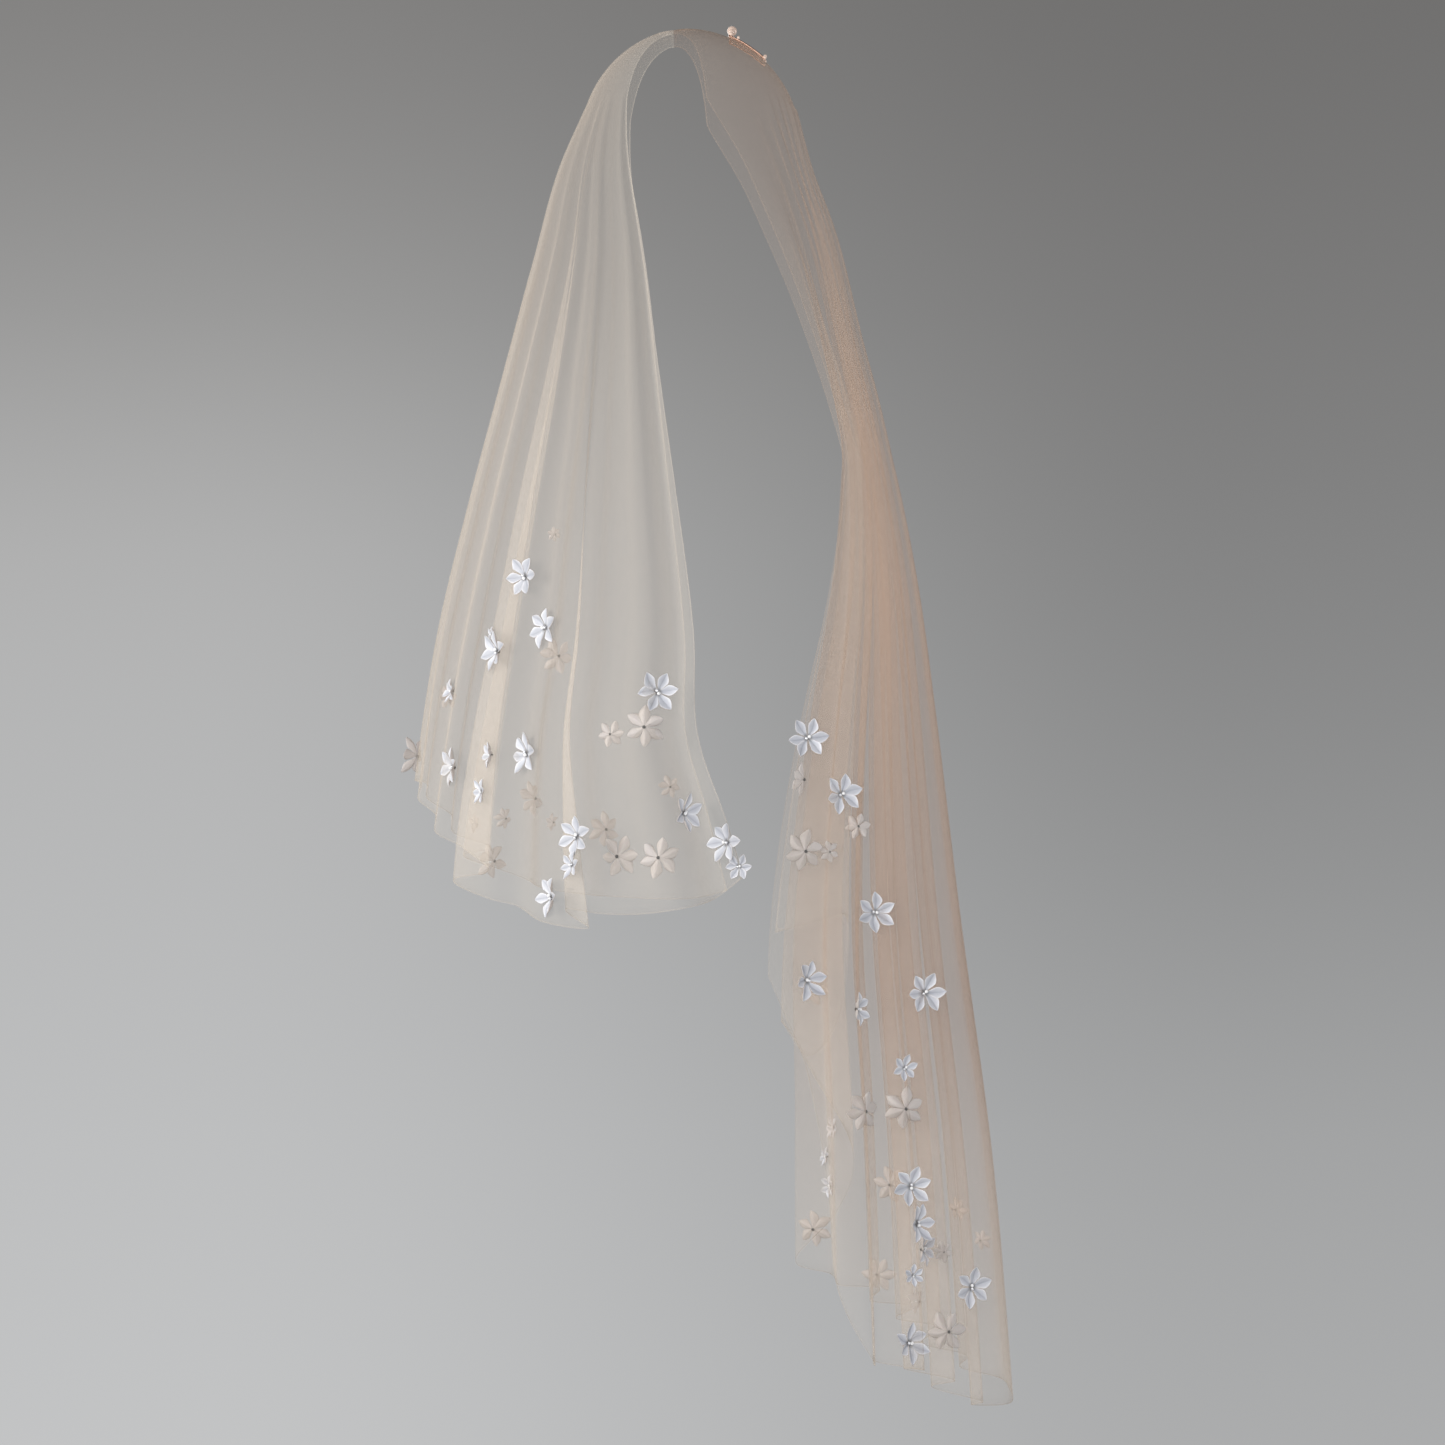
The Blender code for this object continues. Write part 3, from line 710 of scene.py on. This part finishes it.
# Small flowers between the others: tier, place to the back (+) or front (-), drop, left (1) or right (-1),
# diameter, spin in degrees, the way it faces, the cloth's side
smallFlowers = (
    ("front", -181, 559, 1, 15, 10, 72, "outer"),
    ("front", -236, 612, -1, 23, 40, 150, "outer"),
    ("front", -141, 455, -1, 15, 25, 150, "outer"),
    ("front", -216, 733, -1, 20, 5, 118, "outer"),
    ("front", -190, 729, -1, 22, 33, 138, "outer"),
    ("front", -146, 734, -1, 18, 12, 126, "outer"),
    ("back", 90, 685, 1, 30, 8, 108, "inner"),
    ("back", 112, 747, 1, 20, 20, 176, "inner"),
    ("back", 135, 882, 1, 32, 3, -70, "outer"),
    ("back", 194, 1096, 1, 32, 15, -70, "outer"),
    ("back", 213, 1098, 1, 19, 28, 170, "inner"),
    ("back", 184, 1112, 1, 20, 2, -20, "outer"),
    ("back", 192, 1141, 1, 24, 18, 112, "inner"),
    ("back", 124, 1066, -1, 20, 30, 76, "inner"),
    ("back", 128, 1096, -1, 24, 10, 66, "inner"),
    ("back", 262, 1122, -1, 20, 16, 210, "outer"),
)


def makeSatinMaterial():
    # painted highlight along a petal's rolled rim, painted shade over the face inside it, along its midrib
    # and at its foot.
    # The attribute for the rim is s, from 0 in the middle to 1, and out is t, from 0 at the foot to 1:
    # the rim's painted highlight = s^rimEdge, the midrib's painted shade = exp(-ribEdge s^2) and the foot's
    # painted shade = exp(-baseEdge t^4)
    material, tree, shader = newMaterial("whiteSatin")
    place = tree.nodes.new("ShaderNodeTexCoord")
    grain = noiseOf(tree, place.outputs["Object"], 900.0, 3.0)
    cloud = noiseOf(tree, place.outputs["Object"], 120.0)
    across = tree.nodes.new("ShaderNodeAttribute")
    across.attribute_name = "rimHighlight"
    colour = mixColour(tree, cloud, *flower["face"])
    # painted highlight along the rolled rim
    rimHighlight = calc(tree, "POWER", across.outputs["Fac"], flower["rimEdge"])
    colour = mixColour(tree, rimHighlight, colour, flower["rimHighlight"])
    # painted shade along the midrib crease
    power = calc(tree, "POWER", across.outputs["Fac"], 2.0)
    ribShade = calc(tree, "EXPONENT", calc(tree, "MULTIPLY", power, -flower["ribEdge"]))
    colour = mixColour(tree, calc(tree, "MULTIPLY", ribShade, flower["ribDepth"]), colour, flower["ribShade"])
    out = tree.nodes.new("ShaderNodeAttribute")
    out.attribute_name = "out"
    power = calc(tree, "POWER", out.outputs["Fac"], 4.0)
    base = calc(tree, "EXPONENT", calc(tree, "MULTIPLY", power, -flower["baseEdge"]))
    colour = mixColour(tree, calc(tree, "MULTIPLY", base, flower["baseDepth"]), colour, flower["base"])
    tree.links.new(colour, shader.inputs["Base Color"])
    shader.inputs["Roughness"].default_value = 0.4
    shader.inputs["Specular IOR Level"].default_value = 0.5
    bump = tree.nodes.new("ShaderNodeBump")
    bump.inputs["Strength"].default_value = 0.25
    bump.inputs["Distance"].default_value = 0.0003
    tree.links.new(grain, bump.inputs["Height"])
    tree.links.new(bump.outputs["Normal"], shader.inputs["Normal"])
    return material


def makePlainMaterial(name, colour, roughness, metallic=0.0, coat=0.0, grainScale=700.0):
    # a hard finish with fine unevenness in its colour and its surface
    material, tree, shader = newMaterial(name)
    place = tree.nodes.new("ShaderNodeTexCoord")
    grain = noiseOf(tree, place.outputs["Object"], grainScale, 3.0)
    darker = tuple(0.88 * c for c in colour)         # in the grain's hollows
    tree.links.new(mixColour(tree, grain, darker, colour), shader.inputs["Base Color"])
    shader.inputs["Roughness"].default_value = roughness
    shader.inputs["Metallic"].default_value = metallic
    shader.inputs["Coat Weight"].default_value = coat
    bump = tree.nodes.new("ShaderNodeBump")
    bump.inputs["Strength"].default_value = 0.1
    bump.inputs["Distance"].default_value = 0.0001
    tree.links.new(grain, bump.inputs["Height"])
    tree.links.new(bump.outputs["Normal"], shader.inputs["Normal"])
    return material


def petalPoints(radius, turn, lift, curl, bend):
    # t runs out along the petal and s from side to side, -1 to 1.
    # half width = halfWidth * (t / widest)^0.95 up to the widest place, then cosine^0.85 to the point.
    # height = lift * t^1.4 + curl * t^3 + rim * s^2 - midrib + veins; it bows sideways by bend * sin(pi t)
    t = np.linspace(0.0, 1.0, flower["rowsAlong"])[:, None]
    s = np.linspace(-1.0, 1.0, flower["rowsAcross"] + 1)[None, :]
    widest = flower["widestAt"]
    rise = np.clip(t / widest, 0, 1) ** 0.95
    fade = np.cos(np.clip((t - widest) / (1 - widest), 0, 1) * math.pi / 2) ** 0.85
    half = flower["halfWidth"] * np.maximum(rise * fade, 0.015)
    out = t * np.ones_like(s)
    sideways = s * half + bend * np.sin(math.pi * t) - 0.6 * bend * t ** 2
    up = lift * t ** 1.4 + curl * t ** 3
    up = up + flower["cup"] * s ** 2 * (half / flower["halfWidth"]) ** 1.5
    up = up - flower["crease"] * np.exp(-(s / flower["creaseWidth"]) ** 2) * np.sin(math.pi * t)
    veins = np.cos(2 * math.pi * (flower["veins"] * t - flower["veinSlant"] * np.abs(s)))
    veins = veins * (1 - s ** 2) * np.sin(math.pi * t)
    up = up + flower["vein"] * veins
    x = out * math.cos(turn) - sideways * math.sin(turn)
    y = out * math.sin(turn) + sideways * math.cos(turn)
    return np.stack((x, y, up), axis=-1).reshape(-1, 3) * radius


def ballOf(middle, diameter, around=14, rings=9):
    # points and faces of a ball, in rings from pole to pole
    tilt = np.linspace(0.0, math.pi, rings)[:, None]
    turn = np.linspace(0.0, 2 * math.pi, around, endpoint=False)[None, :]
    ball = np.stack((np.sin(tilt) * np.cos(turn), np.sin(tilt) * np.sin(turn),
                     np.cos(tilt) * np.ones_like(turn)), axis=-1)
    return ball.reshape(-1, 3) * diameter / 2 + np.asarray(middle), gridFaces(rings, around, wrap=True)


def joinedMesh(name, shells, material):
    # several grids as one mesh: each shell is its points and its faces
    offsets = np.cumsum([0] + [len(points) for points, _ in shells[:-1]])
    points = np.concatenate([points for points, _ in shells])
    faces = np.concatenate([faces + offset for (_, faces), offset in zip(shells, offsets)])
    return meshOf(name, points, faces, material)


def closePoles(piece):
    # the rings at a ball's poles have no width: their points are merged
    shape = bmesh.new()
    shape.from_mesh(piece.data)
    bmesh.ops.remove_doubles(shape, verts=shape.verts, dist=1e-7)
    bmesh.ops.recalc_face_normals(shape, faces=shape.faces)
    shape.to_mesh(piece.data)
    shape.free()


def flowerSeat(node):
    # where a packed flower sits: the foot of its middle, the way it faces, the way its first petal
    # points and its radius. The farthest points are its tips, and the tips' plane gives the way it faces.
    points = np.array([v.co for v in node.data.vertices])
    middle = points.mean(0)
    far = np.linalg.norm(points - middle, axis=1)
    tips = points[far > 0.93 * far.max()]
    ring = tips.mean(0)
    _, _, axes = np.linalg.svd(tips - ring)
    face = axes[2]
    sideways = np.linalg.norm(np.cross(points - ring, face), axis=1)
    near = points[sideways < 0.15 * far.max()]
    if (near.mean(0) - ring) @ face > 0:
        face = -face
    base = near[np.argmin((near - ring) @ face)]
    first = points[np.argmax(far)] - ring
    first = first - (first @ face) * face
    return base, face, first / np.linalg.norm(first), float(sideways.max()) / mm


def laidOn(points, cloth):
    # points in millimetres from the seat: what would dip through the cloth is pressed flat on it.
    # height = (h + sqrt(h^2 + w^2)) / 2, which is h far above the cloth and nearly 0 below it
    h = points @ cloth + flower["press"]
    pressed = (h + np.sqrt(h ** 2 + flower["pressSoftness"] ** 2)) / 2
    return points + (pressed - h)[:, None] * cloth


def makeFlower(name, seat, face, first, radius, cloth, turn=None, nodeName=None):
    # the flower is laid on the cloth that it is sewn to, on its outer or inner side
    face, first = np.asarray(face), np.asarray(first)
    reach = flower["reach"] * mm
    hit = cloth.ray_cast(Vector(seat + face * reach), Vector(-face), 2 * reach)[0]
    if hit is not None:
        seat = np.array(hit) + face * flower["gap"] * mm
    outwards = face
    if turn is not None:
        way, side = math.radians(turn[0]), turn[1]
        if side == "inner":
            outwards = -face
            seat = seat - face * (tulle["thickness"] + flower["innerGap"]) * mm
        face = np.array((math.cos(way), -math.sin(way), flower["leanUp"]))
        face /= np.linalg.norm(face)
        first = first - (first @ face) * face
        first /= np.linalg.norm(first)
    axes = np.stack((first, np.cross(face, first), face))

    def seated(points):
        spots = points @ axes
        if turn is not None:
            spots = laidOn(spots, outwards)
        return seat + spots * mm

    shells = []
    faces = gridFaces(flower["rowsAlong"], flower["rowsAcross"] + 1)
    for number in range(flower["petals"]):
        angle = 2 * math.pi * number / flower["petals"] + rng.uniform(-flower["turn"], flower["turn"])
        points = petalPoints(radius * rng.uniform(*flower["size"]), angle, rng.uniform(*flower["lift"]),
                             rng.uniform(*flower["curl"]), rng.uniform(*flower["bend"]))
        points[:, 2] += flower["foot"] + flower["overlap"] * (number % 2)
        shells.append((seated(points), faces))
    petals = joinedMesh(name, shells, satinReverse)
    s = np.abs(np.linspace(-1, 1, flower["rowsAcross"] + 1))[None, :]
    t = np.linspace(0, 1, flower["rowsAlong"])[:, None]
    giveAttribute(petals, "rimHighlight", np.tile((s * np.ones_like(t)).ravel(), flower["petals"]))
    giveAttribute(petals, "out", np.tile((t * np.ones_like(s)).ravel(), flower["petals"]))
    petals.data.materials.append(satinMaterial)      # the wall's other face is the front
    wall = giveWall(petals, flower["thickness"], 1.0)
    wall.material_offset = 1
    # a pearl and a silver bead side by side, and behind the cloth the knot that holds them
    small = min(1.0, radius / flower["fullRadius"])
    bead, silver, knot = (flower[ball] * small for ball in ("bead", "silverBead", "knot"))
    lean = rng.uniform(0, 2 * math.pi)
    lean = np.array((math.cos(lean), math.sin(lean), 0.0))
    points, faces = ballOf(-lean * bead / 2 + (0, 0, flower["beadFoot"] + bead / 2), bead)
    pearl = meshOf(name + ".bead", seated(points), faces, beadMaterial)
    points, faces = ballOf(lean * silver / 2 + (0, 0, flower["silverFoot"] + silver / 2), silver)
    setting = meshOf(name + ".setting", seated(points), faces, silverMaterial)
    points, faces = ballOf((0, 0, 0), knot)
    points = points - flower["knotFlat"] * (points @ outwards)[:, None] * outwards
    knots.append((seat - outwards * (tulle["thickness"] + 0.1 + knot / 5) * mm + points * mm, faces))
    for ball in (pearl, setting):
        closePoles(ball)
        ball.data.shade_smooth()
    for piece, slot in ((petals, "satin"), (pearl, "pearl"), (setting, "pearl")):
        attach(piece, "root")
    if nodeName:
        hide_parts(nodeName)
    return petals


def sewSmallFlower(number, row):
    # a place on the cloth beside a point seen from the side, as the larger flowers have
    tier, y, drop, side, diameter, spin, way, clothSide = row
    cloth = bothTiers[tier]
    farOut = 600
    start = Vector((side * farOut, y, -drop)) * mm
    seat, normal, _, _ = cloth.ray_cast(start, Vector((-side, 0, 0)), farOut * mm)
    if seat is None:
        print("no cloth under small flower", number)
        return
    outwards = Vector((seat.x, seat.y, 0)).normalized()
    face = ((normal if normal.dot(outwards) > 0 else -normal) + outwards).normalized()
    up = Vector((math.sin(math.radians(spin)), 0, math.cos(math.radians(spin))))
    first = (up - face * up.dot(face)).normalized()
    name = f"smallFlower{number:02d}"
    makeFlower(name, np.array(seat), face, first, diameter / 2, cloth, (way, clothSide))


satinMaterial = makeSatinMaterial()
satinReverse = makePlainMaterial("satinReverse", flower["reverse"], 0.6)
threadMaterial = makePlainMaterial("greyThread", (0.10, 0.095, 0.09), 0.7, grainScale=2500.0)
knots = []        # each flower adds its own, and they are joined at the end
beadMaterial = makePlainMaterial("whitePearl", (0.93, 0.92, 0.91), 0.16, coat=0.8)
silverMaterial = makePlainMaterial("silverBead", (0.88, 0.88, 0.90), 0.22, metallic=0.45, coat=0.6)
roseGold = makePlainMaterial("roseGoldWire", (0.72, 0.44, 0.32), 0.28, metallic=1.0)
blushPearl = makePlainMaterial("blushPearl", (0.74, 0.56, 0.46), 0.2, coat=0.6)

frontCloth, backCloth = surfaceOf(frontVeil), surfaceOf(backVeil)
bothTiers = {"front": frontCloth, "back": backCloth}
flowerNodes = sorted(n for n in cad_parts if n.startswith("flower_"))
for number, nodeName in enumerate(flowerNodes, 1):
    seat, face, first, radius = flowerSeat(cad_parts[nodeName])
    tier = "front" if seat[1] < flower["partingY"] * mm else "back"
    makeFlower(f"satinFlower{number:02d}", seat, face, first, radius, bothTiers[tier],
               flowerTurns.get(number), nodeName)
for number, row in enumerate(smallFlowers, 1):
    sewSmallFlower(number, row)
threadKnots = joinedMesh("threadKnots", knots, threadMaterial)
closePoles(threadKnots)
threadKnots.data.shade_smooth()
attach(threadKnots, "root")
print("flowers sewn on:", len(flowerNodes) + len(smallFlowers))

# Comb: a wire bar with hairpin teeth, and pearls on its front

comb = {
    "halfWidth": 18.0,
    "barEnd": 2.0,              # the bar goes on past the last tooth
    "y": 26.0,
    "wire": 0.9,
    "lift": 1.0,                # height of its underside over the cloth
    "barHeight": 1.2,           # height of the bar's middle over that
    "barTwist": 0.55,           # from the bar's middle to each wire's middle
    "barTurns": 22,
    "teeth": 7,
    "toothLength": 32.0,
    "toothGap": 1.8,
    "toothHeight": 0.7,
    "endBead": 3.4,
    "lesserBead": 0.75,         # size of every other end bead, as a share
    "beadHeight": 0.5,
    "barBead": 2.6,
    "barBeadPlace": (1.5, 7.0), # aside from its tooth and back from the bar
}


def tubePoints(path, thickness, around=8):
    # a round wire: circles square to the path, turned the least from one to the next
    path = np.asarray(path, float)
    ahead = np.gradient(path, axis=0)
    ahead /= np.linalg.norm(ahead, axis=1)[:, None]
    up = np.array((0.0, 0.0, 1.0))
    side = np.cross(ahead, up)
    side /= np.linalg.norm(side, axis=1)[:, None]
    lift = np.cross(side, ahead)
    turn = np.linspace(0, 2 * math.pi, around, endpoint=False)[None, :, None]
    ring = np.cos(turn) * side[:, None, :] + np.sin(turn) * lift[:, None, :]
    return (path[:, None, :] + ring * thickness / 2).reshape(-1, 3)


def overDome(x, y, height):
    # a point that stands a height out from the cloth on the back of the dome, in millimetres
    hit = backCloth.ray_cast(Vector((x, y, 60)) * mm, Vector((0, 0, -1)), 1.0)[0] / mm
    outwards = Vector((hit.x / dome["side"] ** 2, (hit.y - dome["middleY"]) / dome["back"] ** 2,
                       (hit.z + dome["height"]) / dome["height"] ** 2)).normalized()
    return np.array(hit + outwards * height)


def makeComb():
    wires = []
    pitch = 2 * (comb["halfWidth"] - comb["barEnd"]) / (comb["teeth"] - 1)
    toothPlaces = [-comb["halfWidth"] + comb["barEnd"] + pitch * number for number in range(comb["teeth"])]
    # bar: two wires wound round each other
    for phase in (0.0, math.pi):
        xs = np.linspace(-comb["halfWidth"], comb["halfWidth"], 321)
        wind = xs / comb["halfWidth"] * math.pi * comb["barTurns"] / 2 + phase
        bar = np.array([overDome(x, comb["y"], comb["lift"] + comb["barHeight"]) for x in xs])
        bar[:, 1] += comb["barTwist"] * np.cos(wind)
        bar[:, 2] += comb["barTwist"] * np.sin(wind)
        wires.append(bar)
    # teeth: hairpins that run back over the dome and close at the tip, half gap = sqrt(1 - t^6) of it
    t = np.linspace(0, 1, 18)
    back = comb["y"] + comb["toothLength"] * t
    gap = comb["toothGap"] / 2 * np.sqrt(np.clip(1 - t ** 6, 0.02, 1))
    height = comb["lift"] + comb["toothHeight"]
    for x in toothPlaces:
        for sign in (-1, 1):
            wires.append(np.array([overDome(x + sign * g, y, height) for g, y in zip(gap, back)]))
    shells = [(tubePoints(w, comb["wire"]) * mm, gridFaces(len(w), 8, wrap=True)) for w in wires]
    piece = joinedMesh("combWire", shells, roseGold)
    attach(piece, "root")
    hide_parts("comb")
    # beads: one on each tooth's end and one beside it near the bar
    beads = []
    aside, behind = comb["barBeadPlace"]
    for number, x in enumerate(toothPlaces):
        size = comb["endBead"] * (1.0 if number % 2 else comb["lesserBead"])
        height = comb["lift"] + comb["beadHeight"] + size / 2
        endAt = overDome(x, comb["y"] + comb["toothLength"] - 1, height)
        nearAt = overDome(x + aside, comb["y"] + behind, comb["lift"] + comb["barBead"])
        for middle, diameter in ((endAt, size), (nearAt, comb["barBead"])):
            points, faces = ballOf(middle, diameter)
            beads.append((points * mm, faces))
    small = joinedMesh("combBeads", beads, blushPearl)
    closePoles(small)
    small.data.shade_smooth()
    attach(small, "root")
    for number in range(1, 6):
        nodeName = f"comb_pearl_{number}"
        low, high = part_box(nodeName)
        points, faces = ballOf((low + high) / 2 / mm, (high - low).x / mm, 28, 19)
        ball = meshOf(f"combPearl{number}", points * mm, faces, blushPearl)
        closePoles(ball)
        ball.data.shade_smooth()
        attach(ball, "root")
        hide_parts(nodeName)


makeComb()
print("comb set")
